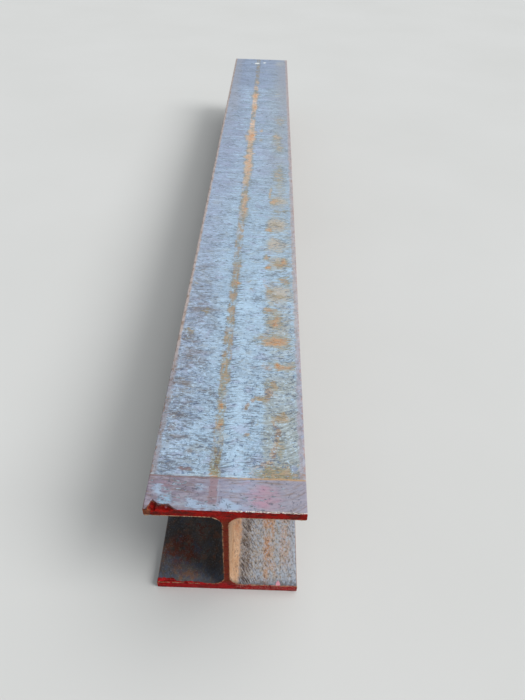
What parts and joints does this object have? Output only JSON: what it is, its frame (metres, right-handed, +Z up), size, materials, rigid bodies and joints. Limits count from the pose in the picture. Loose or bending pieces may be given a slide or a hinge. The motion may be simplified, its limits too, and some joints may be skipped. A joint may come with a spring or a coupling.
{
  "type": "steel i-beam",
  "caption": "Hot-rolled wide-flange steel beam, flange as wide as the section is high, with rounded roots and a torch-cut end painted red.",
  "frame": {"origin": "middle of the bottom flange's underside, halfway along the length", "axes": "+Y along the length, away from the torch-cut and painted end, +Z up out of the top flange, +X to the right seen from the painted end"},
  "size_m": [0.26, 2.62, 0.26],
  "materials": {
    "scaled_steel": "blue-grey mill scale with streaks of orange rust, the painted cut end red"
  },
  "bodies": {
    "root": {"i_beam": "scaled_steel"}
  },
  "joints": []
}
